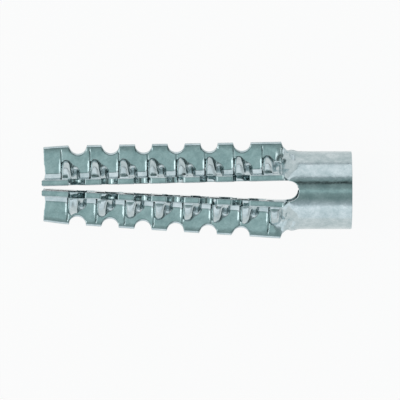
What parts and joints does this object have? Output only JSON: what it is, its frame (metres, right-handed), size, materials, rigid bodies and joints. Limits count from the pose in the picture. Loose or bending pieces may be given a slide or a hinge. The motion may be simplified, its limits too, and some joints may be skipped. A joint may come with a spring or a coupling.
{
  "type": "metal expansion plug",
  "caption": "Hammer-in expansion plug folded from one sheet: a short tube for the screw, and two ribbed legs with toothed fins that a driven screw spreads.",
  "frame": {"origin": "centre of the tube's mouth, where the screw enters", "axes": "+X along the tube's axis, out of its mouth; the legs run to -X. +Z through the open slot between the legs, and -Z through the slot on the seam's side. The legs lie on the +Y and the -Y side."},
  "size_m": [0.038, 0.0119, 0.0096],
  "materials": {
    "zinc_plated_steel": "zinc plated, dull"
  },
  "bodies": {
    "root": {"expansion_plug": "zinc_plated_steel"}
  },
  "joints": []
}
